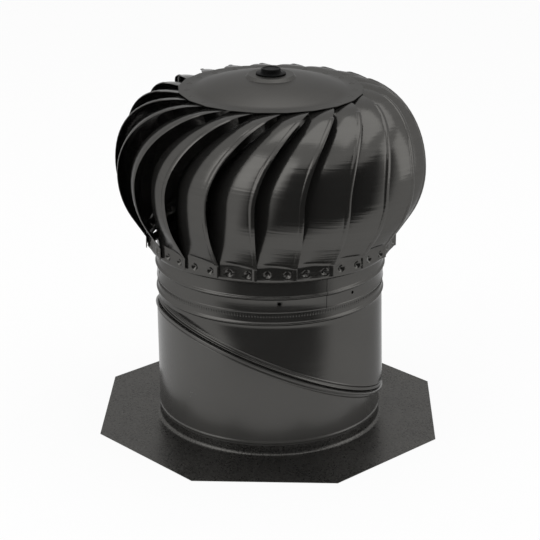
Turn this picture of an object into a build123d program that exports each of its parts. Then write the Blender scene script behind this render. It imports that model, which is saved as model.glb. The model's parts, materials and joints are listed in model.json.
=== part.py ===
"""Turbine roof vent on a variable-pitch base.

Millimetres and degrees, +Z up, origin at the centre of the flashing plate's underside.
The base stays on the roof, the upper tube turns on a slanted seam to suit the roof's pitch,
and the bladed head spins on a shaft that three brace legs hold in the throat.
"""
import os
from math import cos, hypot, pi, radians, sin, tan

from build123d import *

# Flashing plate and its drawn collar
PLATE_FLATS = 457.0
PLATE_SIDES = 8
PLATE_SHEET = 0.7
COLLAR_HEIGHT = 22.0
COLLAR_BEND_R = 5.0

# Tubes of the base
TUBE_R = 153.5
TUBE_SHEET = 0.6
SLEEVE_GAP = 0.2
LOWER_FOOT_Z = 15.0
FOOT_BEAD_ABOVE_FOOT = 4.2
FOOT_BEAD_RISE = 1.2
FOOT_BEAD_WIDTH = 6.0
LOWER_STRAIGHT = 8.5
NECK_ABOVE_SEAM = 17.43
STOP_BEAD_ABOVE_NECK = 8.0
STOP_BEAD_RISE = 2.2
STOP_BEAD_WIDTH = 7.0

# Slanted seam on which the upper tube turns
SEAM_LOW_SIDE = 15.93
SEAM_TILT = 22.5
SEAM_HIGH_AZIMUTH = 203.0
SEAM_FLARE = 10.0
SEAM_RIM = 5.0
SEAM_WALL_DEPTH = 8.0
SEAM_WALL_RISE = 1.5
TONGUE_THICKNESS = 1.4
SEAM_CLEARANCE = 0.35
SEAM_BEAD_RISE = 2.2
SEAM_BEAD_WIDTH = 5.0
SEAM_BEAD_HEIGHT = 1.5
SEAM_LOWER_BEAD_RISE = 1.1
SEAM_LOWER_BEAD_WIDTH = 4.0
SEAM_LOWER_BEAD_HEIGHT = 0.5

# Throat ring
THROAT_SHEET = 0.7
THROAT_FOOT_ABOVE_STOP = 15.0
THROAT_HEIGHT = 59.0
THROAT_BEAD_ABOVE_FOOT = 21.0
THROAT_BEAD_RISE = 2.5
THROAT_BEAD_WIDTH = 7.0
SCREW_HOLE_R = 2.2
SCREW_HOLE_BELOW_BEAD = 8.0
SCREW_HOLE_AZIMUTHS = (-84.0, -44.0)
SCREW_SET_COUNT = 3
TUBE_TOP_BELOW_BEAD = 2.0
THROAT_LAP_AZIMUTH = -60.0
THROAT_LAP_ANGLE = 8.0

# Rotor ring
RING_CLEARANCE = 12.6
RING_RIM_STEP = 2.5
RING_SHEET = 0.7
RING_FOOT_ABOVE_THROAT_FOOT = 45.0
RING_RIM_HEIGHT = 6.0
RING_HEIGHT = 20.0

# Blades: the outer lip runs flat from under the cap, round the crown and belly, down the skirt to the foot
BLADE_COUNT = 21
BLADE_SHEET = 0.5
BLADE_TAB = 16.2
CROWN_FLAT = 11.8
CROWN_REACH = 78.7
CROWN_RISE = 101.0
EQUATOR_REACH = 41.7
BELLY_R = 116.0
SKIRT_SLOPE = 33.3
FOOT_GAP = 0.2
FOOT_TURN = 12.35
FOOT_ABOVE_RIM = 6.0
FOOT_BEND = 15.4
BLADE_AZIMUTH = -94.0
LIP_SWIRL = 32.0
SWIRL_POWER = 1.7
BELLY_DEPTH = 40.0
LAP_ANGLE = 2.0
BELLY_LAP_ANGLE = 5.0
BELLY_BOW = 11.0
HEM_WIDTH = 6.0
HEM_RISE = 0.9
HEM_START = 30.0
HEM_STEP = 8.0
HEM_SETBACK = 3.0

# Top cap
CAP_SHEET = 0.7
CAP_GAP = 0.2
CAP_OVERHANG = 4.8
CAP_RIM = 20.0
CAP_DOME_RISE = 15.0
CAP_DOME_BOW = 10.0
CAP_BOSS_FOOT_R = 34.0
CAP_BOSS_R = 30.0
CAP_BOSS_RISE = 4.0
CAP_HOLE_R = 15.0

# Brace, shaft and spokes
STRIP_WIDTH = 22.0
STRIP_SHEET = 1.6
LEG_COUNT = 3
LEG_AZIMUTH = 230.0
LEG_FOOT_HEIGHT = 20.0
LEG_RISE = 38.0
SPOKE_AZIMUTH = 198.0
SPOKE_FOOT_HEIGHT = 12.0
SPOKE_HUB_RISE = 32.0
STRIP_END_R = 14.5
HUB_R = 32.0
HUB_THICKNESS = 5.0
HUB_RIVET_R = 23.0
RIVET_R = 2.0
RIVET_HEAD_R = 3.6
RIVET_HEAD_HEIGHT = 1.2
RIVET_HOLE_GAP = 0.05
SHAFT_R = 8.0
JOURNAL_R = 6.0
SHAFT_COLLAR_R = 13.0
SHAFT_COLLAR_HEIGHT = 4.0
NUT_FLATS = 18.0
NUT_HEIGHT = 6.0
WASHER_R = 12.0
WASHER_THICKNESS = 2.0
THREAD_PAST_NUT = 3.0
RUNNING_GAP = 0.05
BUSH_WALL = 2.5
BUSH_LENGTH = 18.0
BUSH_FLANGE_R = 15.0
BUSH_FLANGE_THICKNESS = 2.0

# Upper ball bearing, its housing and the plastic cap over it
BEARING_R = 16.0
BEARING_WIDTH = 10.0
BALL_R = 2.95
BALL_PITCH_R = 11.0
BALL_COUNT = 7
RACE_GAP = 0.06
RACE_SHOULDER = 1.7
HOUSING_WALL = 2.5
HOUSING_FLANGE_R = 28.0
HOUSING_FLANGE_THICKNESS = 2.0
HOUSING_LIP = 2.0
HOUSING_LIP_THICKNESS = 1.5
HOUSING_NECK = 4.0
CLIP_THICKNESS = 1.2
BEARING_CAP_FLANGE_R = 20.0
BEARING_CAP_FLANGE_THICKNESS = 2.2
BEARING_CAP_CROWN_R = 13.5
BEARING_CAP_HEIGHT = 8.0
BEARING_CAP_WALL = 1.5
BEARING_CAP_PLUG_DEPTH = 3.5
PLUG_GAP = 0.1

# Length of the cutters that make through holes
CUT_LENGTH = 20.0

# Heights and radii that follow from the sizes above
COLLAR_R = TUBE_R - TUBE_SHEET - SLEEVE_GAP
SEAM_R = TUBE_R + SEAM_FLARE
SEAM_RIM_R = SEAM_R + SEAM_RIM
SEAM_REACH = SEAM_R * sin(radians(SEAM_TILT))
STRAIGHT_TOP_Z = LOWER_FOOT_Z + LOWER_STRAIGHT
SEAM_Z = STRAIGHT_TOP_Z + SEAM_LOW_SIDE + SEAM_REACH
NECK_Z = SEAM_Z + SEAM_REACH + NECK_ABOVE_SEAM
STOP_BEAD_Z = NECK_Z + STOP_BEAD_ABOVE_NECK
THROAT_FOOT_Z = STOP_BEAD_Z + THROAT_FOOT_ABOVE_STOP
THROAT_BEAD_Z = THROAT_FOOT_Z + THROAT_BEAD_ABOVE_FOOT
THROAT_TOP_Z = THROAT_FOOT_Z + THROAT_HEIGHT
THROAT_R = TUBE_R + SLEEVE_GAP + THROAT_SHEET
TUBE_TOP_Z = THROAT_BEAD_Z - TUBE_TOP_BELOW_BEAD
RING_FOOT_Z = THROAT_FOOT_Z + RING_FOOT_ABOVE_THROAT_FOOT
RING_TOP_Z = RING_FOOT_Z + RING_HEIGHT
RING_R = THROAT_R + RING_CLEARANCE
RING_RIM_R = RING_R - RING_RIM_STEP
EQUATOR_R = RING_R + EQUATOR_REACH
CROWN_R = EQUATOR_R - CROWN_REACH
BLADE_RIM_R = CROWN_R - CROWN_FLAT
CAP_CORNER_R = BLADE_RIM_R + CAP_OVERHANG
CAP_FLAT_R = CAP_CORNER_R - CAP_RIM
PITCH = 360.0 / BLADE_COUNT
FOOT_CHORD_R = RING_R + FOOT_GAP + BLADE_SHEET
FOOT_LIP_R = FOOT_CHORD_R / cos(radians(FOOT_TURN))
LAP_DEPTH = FOOT_LIP_R - FOOT_CHORD_R / cos(radians(PITCH + LAP_ANGLE - FOOT_TURN))
CROWN_LENGTH = CROWN_FLAT + pi / 2 * hypot(CROWN_REACH, CROWN_RISE) / 2 ** 0.5
BELLY_LENGTH = BELLY_R * radians(SKIRT_SLOPE)
SKIRT_TOP_R = EQUATOR_R - BELLY_R * (1 - cos(radians(SKIRT_SLOPE)))
SKIRT_LENGTH = (SKIRT_TOP_R - FOOT_LIP_R) / sin(radians(SKIRT_SLOPE))
SPAN = CROWN_LENGTH + BELLY_LENGTH + SKIRT_LENGTH
BLADE_FOOT_Z = RING_FOOT_Z + FOOT_ABOVE_RIM
BEND_Z = BLADE_FOOT_Z + FOOT_BEND
SKIRT_TOP_Z = BEND_Z + SKIRT_LENGTH * cos(radians(SKIRT_SLOPE))
EQUATOR_Z = SKIRT_TOP_Z + BELLY_R * sin(radians(SKIRT_SLOPE))
CROWN_Z = EQUATOR_Z + CROWN_RISE
CAP_Z = CROWN_Z + CAP_GAP
BOSS_Z = CAP_Z + CAP_SHEET + CAP_DOME_RISE + CAP_BOSS_RISE
BEARING_TOP_Z = BOSS_Z - CAP_SHEET - HOUSING_NECK - HOUSING_LIP_THICKNESS
BEARING_Z = BEARING_TOP_Z - BEARING_WIDTH
LEG_END_Z = THROAT_TOP_Z + LEG_RISE
HUB_Z = LEG_END_Z + STRIP_SHEET
SPOKE_END_Z = HUB_Z + SPOKE_HUB_RISE
SPOKE_HUB_Z = SPOKE_END_Z + STRIP_SHEET
RIVET_HOLE_R = RIVET_R + RIVET_HOLE_GAP

HIGH = Vector(cos(radians(SEAM_HIGH_AZIMUTH)), sin(radians(SEAM_HIGH_AZIMUTH)), 0)
SEAM_UPHILL = HIGH * cos(radians(SEAM_TILT)) + Vector(0, 0, sin(radians(SEAM_TILT)))
SEAM_NORMAL = Vector(0, 0, cos(radians(SEAM_TILT))) - HIGH * sin(radians(SEAM_TILT))


def level_plane(height):
    """A level plane whose X axis points at the seam's high side."""
    return Plane(origin=(0, 0, height), x_dir=HIGH, z_dir=(0, 0, 1))


def seam_plane(offset=0.0):
    """The slanted plane of the seam, moved along its normal by an offset."""
    centre = Vector(0, 0, SEAM_Z) + SEAM_NORMAL * offset
    return Plane(origin=centre, x_dir=SEAM_UPHILL, z_dir=SEAM_NORMAL)


def turned(points):
    """A solid turned about the Z axis from a closed outline of (radius, height) points."""
    return revolve(Plane.XZ * make_face(Polyline(*points, close=True)), Axis.Z)


def tube(outer, inner, z_start, z_end):
    """A plain ring between two radii and two heights."""
    return turned([(inner, z_start), (outer, z_start), (outer, z_end), (inner, z_end)])


def wall_path(radius, z_start, z_end, beads):
    """Edges up a wall at one radius that step round each bead, given as (height, rise, width)."""
    edges = []
    z = z_start
    for bead_z, rise, width in beads:
        low = (radius, bead_z - width / 2)
        high = (radius, bead_z + width / 2)
        edges.append(Line((radius, z), low))
        edges.append(ThreePointArc(low, (radius + rise, bead_z), high))
        z = high[1]
    edges.append(Line((radius, z), (radius, z_end)))
    return edges


def beaded_tube(radius, sheet, z_start, z_end, beads, arc=360.0):
    """A sheet-metal tube, or an arc of one, with rolled beads that stand out of its wall."""
    outer = wall_path(radius, z_start, z_end, beads)
    inner = wall_path(radius - sheet, z_start, z_end, beads)
    foot = Line((radius - sheet, z_start), (radius, z_start))
    top = Line((radius - sheet, z_end), (radius, z_end))
    return revolve(Plane.XZ * make_face([*outer, *inner, foot, top]), Axis.Z, arc)


def loft_wall(low_plane, low_radius, high_plane, high_radius, sheet):
    """A sheet-metal wall that changes from a circle in one plane to a circle in another."""
    outside = loft([low_plane * Circle(low_radius), high_plane * Circle(high_radius)])
    inside = loft([low_plane * Circle(low_radius - sheet), high_plane * Circle(high_radius - sheet)])
    return outside - inside


def polar(radius, azimuth, height):
    """A point at a radius and azimuth about the Z axis."""
    return Vector(radius * cos(radians(azimuth)), radius * sin(radians(azimuth)), height)


def spaced(count, first):
    """Evenly spaced azimuths round the Z axis."""
    return [first + 360.0 * i / count for i in range(count)]


def flashing_plate():
    """Octagonal sheet with a collar drawn up round its hole."""
    half_side = 180.0 / PLATE_SIDES
    outline = RegularPolygon(PLATE_FLATS / 2, PLATE_SIDES, major_radius=False, rotation=half_side)
    plate = extrude(outline, PLATE_SHEET)
    bend_outer = COLLAR_BEND_R + PLATE_SHEET
    root = COLLAR_R + COLLAR_BEND_R
    bore = COLLAR_R - PLATE_SHEET
    plate -= Cylinder(root, CUT_LENGTH)
    mid = cos(radians(45))
    centre_z = PLATE_SHEET + COLLAR_BEND_R
    section = [
        Line((root, 0), (root, PLATE_SHEET)),
        ThreePointArc((root, PLATE_SHEET), (root - COLLAR_BEND_R * mid, centre_z - COLLAR_BEND_R * mid),
                      (COLLAR_R, centre_z)),
        Line((COLLAR_R, centre_z), (COLLAR_R, COLLAR_HEIGHT)),
        Line((COLLAR_R, COLLAR_HEIGHT), (bore, COLLAR_HEIGHT)),
        Line((bore, COLLAR_HEIGHT), (bore, centre_z)),
        ThreePointArc((bore, centre_z), (root - bend_outer * mid, centre_z - bend_outer * mid), (root, 0)),
    ]
    return plate + revolve(Plane.XZ * make_face(section), Axis.Z)


def lower_tube():
    """Base tube: round at the foot, ending in a rolled channel in the slanted plane."""
    foot_bead = (LOWER_FOOT_Z + FOOT_BEAD_ABOVE_FOOT, FOOT_BEAD_RISE, FOOT_BEAD_WIDTH)
    foot = beaded_tube(TUBE_R, TUBE_SHEET, LOWER_FOOT_Z, STRAIGHT_TOP_Z, [foot_bead])
    wall = loft_wall(level_plane(STRAIGHT_TOP_Z), TUBE_R, seam_plane(-SEAM_WALL_DEPTH), SEAM_R, TUBE_SHEET)
    shelf = -TONGUE_THICKNESS / 2 - SEAM_CLEARANCE
    ceiling = TONGUE_THICKNESS / 2 + SEAM_CLEARANCE
    inside = SEAM_R - TUBE_SHEET
    bead_z = SEAM_LOWER_BEAD_HEIGHT + SEAM_LOWER_BEAD_WIDTH / 2 - SEAM_WALL_DEPTH
    bead = (bead_z, SEAM_LOWER_BEAD_RISE, SEAM_LOWER_BEAD_WIDTH)
    seam_wall = beaded_tube(SEAM_R, TUBE_SHEET, -SEAM_WALL_DEPTH, shelf, [bead])
    channel = turned([
        (inside, shelf - TUBE_SHEET), (SEAM_RIM_R, shelf - TUBE_SHEET), (SEAM_RIM_R, ceiling + TUBE_SHEET),
        (SEAM_R + SEAM_CLEARANCE, ceiling + TUBE_SHEET), (SEAM_R + SEAM_CLEARANCE, ceiling),
        (SEAM_RIM_R - TUBE_SHEET, ceiling), (SEAM_RIM_R - TUBE_SHEET, shelf), (inside, shelf),
    ])
    return foot + wall + seam_plane().location * (seam_wall + channel)


def upper_tube():
    """Neck tube: a tongue that turns in the lower tube's channel, then round up to the throat."""
    edge = TONGUE_THICKNESS / 2
    tongue_r = SEAM_RIM_R - TUBE_SHEET - SEAM_CLEARANCE
    bead = (edge + SEAM_BEAD_HEIGHT + SEAM_BEAD_WIDTH / 2, SEAM_BEAD_RISE, SEAM_BEAD_WIDTH)
    seam_top = edge + SEAM_BEAD_HEIGHT + SEAM_BEAD_WIDTH + SEAM_WALL_RISE
    tongue = tube(tongue_r, SEAM_R - TUBE_SHEET, -edge, edge)
    seam_wall = beaded_tube(SEAM_R, TUBE_SHEET, edge, seam_top, [bead])
    wall = loft_wall(seam_plane(seam_top), SEAM_R, level_plane(NECK_Z), TUBE_R, TUBE_SHEET)
    stop_bead = (STOP_BEAD_Z, STOP_BEAD_RISE, STOP_BEAD_WIDTH)
    neck = beaded_tube(TUBE_R, TUBE_SHEET, NECK_Z, TUBE_TOP_Z, [stop_bead])
    return seam_plane().location * (tongue + seam_wall) + wall + neck


def strip_bend(foot_r, foot_z, foot_top, end_z):
    """Outline in the radial plane of a strip with an upright foot, a slanted run and a level end."""
    run_end = HUB_R - STRIP_SHEET
    outer = [(foot_r, foot_z), (foot_r, foot_top), (run_end, end_z + STRIP_SHEET),
             (STRIP_END_R, end_z + STRIP_SHEET)]
    inner = [(STRIP_END_R, end_z), (run_end - STRIP_SHEET / 2, end_z),
             (foot_r - STRIP_SHEET, foot_top - STRIP_SHEET), (foot_r - STRIP_SHEET, foot_z)]
    return outer + inner


def strip_arm(foot_r, foot_z, foot_top, end_z):
    """A folded strip along +X with a hole in its upright foot and another in its level end."""
    outline = make_face(Polyline(*strip_bend(foot_r, foot_z, foot_top, end_z), close=True))
    arm = extrude(Plane.XZ * outline, STRIP_WIDTH / 2, both=True)
    foot_hole = Pos(foot_r, 0, foot_hole_z(foot_z, foot_top)) * Rot(0, 90, 0)
    arm -= foot_hole * Cylinder(RIVET_HOLE_R, CUT_LENGTH)
    return arm - Pos(HUB_RIVET_R, 0, end_z) * Cylinder(RIVET_HOLE_R, CUT_LENGTH)


def foot_hole_z(foot_z, foot_top):
    """Height of the hole in a strip's upright foot."""
    return (foot_z + foot_top - STRIP_SHEET) / 2


def flat_against(radius):
    """Radius of a flat strip's face that touches a round wall of this radius with its two edges."""
    return (radius ** 2 - (STRIP_WIDTH / 2) ** 2) ** 0.5


def rivet(grip_start, grip_end):
    """A rivet along +Z whose two heads clamp the grip between two heights."""
    return turned([
        (0, grip_start - RIVET_HEAD_HEIGHT), (RIVET_HEAD_R, grip_start - RIVET_HEAD_HEIGHT),
        (RIVET_HEAD_R, grip_start), (RIVET_R, grip_start), (RIVET_R, grip_end),
        (RIVET_HEAD_R, grip_end), (RIVET_HEAD_R, grip_end + RIVET_HEAD_HEIGHT),
        (0, grip_end + RIVET_HEAD_HEIGHT),
    ])


def end_rivets(end_z, first):
    """One rivet through each strip's level end and the hub on it."""
    end = Pos(HUB_RIVET_R, 0, 0) * rivet(end_z, end_z + STRIP_SHEET + HUB_THICKNESS)
    return [Rot(0, 0, a) * end for a in spaced(LEG_COUNT, first)]


def foot_rivets(wall_r, foot_r, height, first):
    """One rivet through each strip's upright foot and the wall behind it."""
    foot = Pos(0, 0, height) * Rot(0, 90, 0) * rivet(foot_r - STRIP_SHEET, wall_r)
    return [Rot(0, 0, a) * foot for a in spaced(LEG_COUNT, first)]


def wall_holes(radius, height, azimuths, hole_r):
    """Cutters for round holes through an upright round wall."""
    cutter = Pos(radius, 0, height) * Rot(0, 90, 0) * Cylinder(hole_r, CUT_LENGTH)
    return [Rot(0, 0, a) * cutter for a in azimuths]


def disc_holes(height, azimuths):
    """Cutters for the rivet holes through a hub."""
    cutter = Pos(HUB_RIVET_R, 0, height) * Cylinder(RIVET_HOLE_R, CUT_LENGTH)
    return [Rot(0, 0, a) * cutter for a in azimuths]


LEG_FOOT_R = flat_against(THROAT_R - THROAT_SHEET)
LEG_FOOT_Z = THROAT_TOP_Z - LEG_FOOT_HEIGHT
LEG_RIVET_Z = foot_hole_z(LEG_FOOT_Z, THROAT_TOP_Z)
SPOKE_FOOT_R = flat_against(RING_R - RING_SHEET)
SPOKE_FOOT_Z = RING_TOP_Z - SPOKE_FOOT_HEIGHT
LEG = (LEG_FOOT_R, LEG_FOOT_Z, THROAT_TOP_Z, LEG_END_Z)
SPOKE = (SPOKE_FOOT_R, SPOKE_FOOT_Z, RING_TOP_Z, SPOKE_END_Z)


def throat_ring():
    """Sleeve over the neck with a bead, a lap seam, screw holes for the neck and rivet holes for the legs."""
    bead = (THROAT_BEAD_Z, THROAT_BEAD_RISE, THROAT_BEAD_WIDTH)
    ring = beaded_tube(THROAT_R, THROAT_SHEET, THROAT_FOOT_Z, THROAT_TOP_Z, [bead])
    lap_r = THROAT_R + THROAT_SHEET
    lap = beaded_tube(lap_r, THROAT_SHEET, THROAT_FOOT_Z, THROAT_TOP_Z, [bead], THROAT_LAP_ANGLE)
    ring += Rot(0, 0, THROAT_LAP_AZIMUTH) * lap
    azimuths = [a + b for a in SCREW_HOLE_AZIMUTHS for b in spaced(SCREW_SET_COUNT, 0)]
    ring -= wall_holes(THROAT_R, THROAT_BEAD_Z - SCREW_HOLE_BELOW_BEAD, azimuths, SCREW_HOLE_R)
    return ring - wall_holes(THROAT_R, LEG_RIVET_Z, spaced(LEG_COUNT, LEG_AZIMUTH), RIVET_HOLE_R)


def rotor_ring():
    """Band that carries the blades' feet, with a drawn-in rim below."""
    rim_top = RING_FOOT_Z + RING_RIM_HEIGHT
    return turned([
        (RING_RIM_R - RING_SHEET, RING_FOOT_Z), (RING_RIM_R, RING_FOOT_Z), (RING_R, rim_top),
        (RING_R, RING_TOP_Z), (RING_R - RING_SHEET, RING_TOP_Z), (RING_R - RING_SHEET, rim_top),
    ])


def lip_profile(length):
    """Radius, height and inward direction of the outer lip at a length from the cap along its span."""
    if length <= CROWN_FLAT:
        return BLADE_RIM_R + length, CROWN_Z, (0.0, -1.0)
    if length <= CROWN_LENGTH:
        turn = radians(90.0 * (length - CROWN_FLAT) / (CROWN_LENGTH - CROWN_FLAT))
        size = hypot(CROWN_RISE * sin(turn), CROWN_REACH * cos(turn))
        inward = (-CROWN_RISE * sin(turn) / size, -CROWN_REACH * cos(turn) / size)
        return CROWN_R + CROWN_REACH * sin(turn), EQUATOR_Z + CROWN_RISE * cos(turn), inward
    if length <= CROWN_LENGTH + BELLY_LENGTH:
        turn = (length - CROWN_LENGTH) / BELLY_R
        inward = (-cos(turn), sin(turn))
        return EQUATOR_R - BELLY_R * (1 - cos(turn)), EQUATOR_Z - BELLY_R * sin(turn), inward
    slope = radians(SKIRT_SLOPE)
    down = length - CROWN_LENGTH - BELLY_LENGTH
    if length < SPAN:
        return SKIRT_TOP_R - down * sin(slope), SKIRT_TOP_Z - down * cos(slope), (-cos(slope), sin(slope))
    return FOOT_LIP_R, BEND_Z - (length - SPAN), (-1.0, 0.0)


def blade_swing(length):
    """How much of the belly's shape a blade has at a length: none at cap and foot, all half way."""
    return sin(pi * min(max(length / SPAN, 0.0), 1.0))


def blade_edges(length):
    """The outer lip's point and the inner edge's point at a length along a blade."""
    radius, height, (inward_r, inward_z) = lip_profile(length)
    swing = blade_swing(length)
    depth = LAP_DEPTH + (BELLY_DEPTH - LAP_DEPTH) * swing
    crown_left = min(max(1.0 - length / CROWN_LENGTH, 0.0), 1.0)
    lip_azimuth = LIP_SWIRL * crown_left ** SWIRL_POWER
    edge_azimuth = lip_azimuth - PITCH - LAP_ANGLE - (BELLY_LAP_ANGLE - LAP_ANGLE) * swing
    lip = polar(radius, lip_azimuth, height)
    edge = polar(radius + depth * inward_r, edge_azimuth, height + depth * inward_z)
    return lip, edge


def blade_section(length):
    """Section of a blade at a length: its hemmed lip, the bowed sheet and the inner edge."""
    lip, edge = blade_edges(length)
    before = blade_edges(length - 1)
    after = blade_edges(length + 1)
    along = after[0] + after[1] - before[0] - before[1]
    across = (edge - lip).normalized()
    out = across.cross(along).normalized()
    hem = min(max((length - HEM_START) / HEM_STEP, 0.0), 1.0)
    rise = out * (HEM_RISE * hem)
    lip += across * (HEM_SETBACK * (1 - hem))
    chord = edge - lip
    bow = out * (2 * BELLY_BOW * blade_swing(length))
    under = out * -BLADE_SHEET

    def on_sheet(share):
        return lip + chord * share + bow * (2 * share * (1 - share))

    hem_end = on_sheet(HEM_WIDTH / chord.length)
    foot_share = (HEM_WIDTH + HEM_RISE) / chord.length
    hem_foot = on_sheet(foot_share)
    lean = hem_foot + (chord + bow * (2 - 4 * foot_share)) * ((1 - foot_share) / 2)
    middle = lip + chord / 2 + bow
    outline = [
        Line(lip + rise, hem_end + rise),
        Line(hem_end + rise, hem_foot),
        Bezier(hem_foot, lean, edge),
        Line(edge, edge + under),
        Bezier(edge + under, middle + under, lip + under),
        Line(lip + under, lip + rise),
    ]
    return make_face(outline)


def blade():
    """One blade: a bent and twisted sheet whose lip stands proud of the next blade's inner edge."""
    hem_top = HEM_START + HEM_STEP
    foot = SPAN + BEND_Z - BLADE_FOOT_Z
    lengths = [-BLADE_TAB, -BLADE_TAB / 2, 0.0, CROWN_FLAT, (CROWN_FLAT + HEM_START) / 2, HEM_START, hem_top]
    lengths += [hem_top + (CROWN_LENGTH - hem_top) * i / 4 for i in range(1, 5)]
    lengths += [CROWN_LENGTH + BELLY_LENGTH * i / 3 for i in range(1, 4)]
    lengths += [SPAN - SKIRT_LENGTH / 2, SPAN, (2 * SPAN + foot) / 3, foot]
    return Rot(0, 0, BLADE_AZIMUTH) * loft([blade_section(length) for length in lengths])


def top_cap():
    """Polygonal cap, one corner at each blade's lip, dished up to a boss with a hole for the bearing."""
    corner = BLADE_AZIMUTH + LIP_SWIRL
    flat = extrude(RegularPolygon(CAP_CORNER_R, BLADE_COUNT, rotation=corner), CAP_SHEET)
    flat -= Cylinder(CAP_FLAT_R, CUT_LENGTH)
    dome_z = CAP_SHEET + CAP_DOME_RISE
    boss_z = dome_z + CAP_BOSS_RISE
    middle = (CAP_FLAT_R + CAP_BOSS_FOOT_R) / 2
    section = [
        Line((CAP_FLAT_R, 0), (CAP_FLAT_R, CAP_SHEET)),
        ThreePointArc((CAP_FLAT_R, CAP_SHEET), (middle, CAP_SHEET + CAP_DOME_BOW), (CAP_BOSS_FOOT_R, dome_z)),
        Line((CAP_BOSS_FOOT_R, dome_z), (CAP_BOSS_R, boss_z)),
        Line((CAP_BOSS_R, boss_z), (CAP_HOLE_R, boss_z)),
        Line((CAP_HOLE_R, boss_z), (CAP_HOLE_R, boss_z - CAP_SHEET)),
        Line((CAP_HOLE_R, boss_z - CAP_SHEET), (CAP_BOSS_R, boss_z - CAP_SHEET)),
        Line((CAP_BOSS_R, boss_z - CAP_SHEET), (CAP_BOSS_FOOT_R, dome_z - CAP_SHEET)),
        ThreePointArc((CAP_BOSS_FOOT_R, dome_z - CAP_SHEET), (middle, CAP_DOME_BOW), (CAP_FLAT_R, 0)),
    ]
    return Pos(0, 0, CAP_Z) * (flat + revolve(Plane.XZ * make_face(section), Axis.Z))


def hub(height, bore, first):
    """Round hub plate on a set of strip ends."""
    disc = tube(HUB_R, bore, height, height + HUB_THICKNESS)
    return disc - disc_holes(height, spaced(LEG_COUNT, first))


def shaft():
    """Fixed shaft: threaded tail below the hub, collar on it, plain body and a journal for the bearing."""
    tail_z = HUB_Z - WASHER_THICKNESS - NUT_HEIGHT - THREAD_PAST_NUT
    collar_z = HUB_Z + HUB_THICKNESS
    collar_top = collar_z + SHAFT_COLLAR_HEIGHT
    end_z = BEARING_TOP_Z + NUT_HEIGHT + THREAD_PAST_NUT / 2
    return turned([
        (0, tail_z), (JOURNAL_R, tail_z), (JOURNAL_R, collar_z), (SHAFT_COLLAR_R, collar_z),
        (SHAFT_COLLAR_R, collar_top), (SHAFT_R, collar_top), (SHAFT_R, BEARING_Z),
        (JOURNAL_R, BEARING_Z), (JOURNAL_R, end_z), (0, end_z),
    ])


def nut(height):
    """Hexagon nut standing on a height."""
    body = extrude(RegularPolygon(NUT_FLATS / 2, 6, major_radius=False), NUT_HEIGHT)
    return Pos(0, 0, height) * (body - Cylinder(JOURNAL_R + RUNNING_GAP, CUT_LENGTH))


def washer(height):
    """Flat washer standing on a height."""
    return tube(WASHER_R, JOURNAL_R + RUNNING_GAP, height, height + WASHER_THICKNESS)


def lower_bush():
    """Flanged bush that guides the head on the shaft."""
    bore = SHAFT_R + RUNNING_GAP
    top = SPOKE_HUB_Z + HUB_THICKNESS
    flange_top = top + BUSH_FLANGE_THICKNESS
    return turned([
        (bore, flange_top - BUSH_LENGTH), (bore + BUSH_WALL, flange_top - BUSH_LENGTH),
        (bore + BUSH_WALL, top), (BUSH_FLANGE_R, top), (BUSH_FLANGE_R, flange_top), (bore, flange_top),
    ])


def ball_groove():
    """Torus that the balls roll in, a little larger than the balls."""
    return Pos(0, 0, BEARING_Z + BEARING_WIDTH / 2) * Torus(BALL_PITCH_R, BALL_R + RACE_GAP)


def inner_race():
    """Inner race on the shaft's journal."""
    ring = tube(BALL_PITCH_R - RACE_SHOULDER, JOURNAL_R + RUNNING_GAP, BEARING_Z, BEARING_TOP_Z)
    return ring - ball_groove()


def outer_race():
    """Outer race in the housing."""
    return tube(BEARING_R, BALL_PITCH_R + RACE_SHOULDER, BEARING_Z, BEARING_TOP_Z) - ball_groove()


def bearing_balls():
    """Ring of balls between the races."""
    ball = Pos(BALL_PITCH_R, 0, BEARING_Z + BEARING_WIDTH / 2) * Sphere(BALL_R)
    return Compound([Rot(0, 0, a) * ball for a in spaced(BALL_COUNT, 0)])


def bearing_housing():
    """Flanged cup under the cap's boss whose lip bears down on the outer race."""
    bore = BEARING_R + RUNNING_GAP
    wall = bore + HOUSING_WALL
    foot = BEARING_Z - CLIP_THICKNESS
    lip_top = BEARING_TOP_Z + HOUSING_LIP_THICKNESS
    flange_top = BOSS_Z - CAP_SHEET
    flange_foot = flange_top - HOUSING_FLANGE_THICKNESS
    return turned([
        (bore, foot), (wall, foot), (wall, flange_foot), (HOUSING_FLANGE_R, flange_foot),
        (HOUSING_FLANGE_R, flange_top), (bore, flange_top), (bore, lip_top),
        (bore - HOUSING_LIP, lip_top), (bore - HOUSING_LIP, BEARING_TOP_Z), (bore, BEARING_TOP_Z),
    ])


def housing_clip():
    """Ring that keeps the outer race up in its housing."""
    return tube(BEARING_R, BEARING_R - HOUSING_LIP, BEARING_Z - CLIP_THICKNESS, BEARING_Z)


def bearing_cap():
    """Plastic cap that plugs the boss and covers the bearing's nut."""
    plug = CAP_HOLE_R - PLUG_GAP
    inside = BEARING_CAP_CROWN_R - BEARING_CAP_WALL
    flange_top = BOSS_Z + BEARING_CAP_FLANGE_THICKNESS
    top = BOSS_Z + BEARING_CAP_HEIGHT
    return turned([
        (0, top), (inside, top), (BEARING_CAP_CROWN_R, top - BEARING_CAP_WALL),
        (BEARING_CAP_CROWN_R, flange_top), (BEARING_CAP_FLANGE_R, flange_top), (BEARING_CAP_FLANGE_R, BOSS_Z),
        (plug, BOSS_Z), (plug, BOSS_Z - BEARING_CAP_PLUG_DEPTH), (inside, BOSS_Z - BEARING_CAP_PLUG_DEPTH),
        (inside, top - BEARING_CAP_WALL), (0, top - BEARING_CAP_WALL),
    ])


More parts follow.
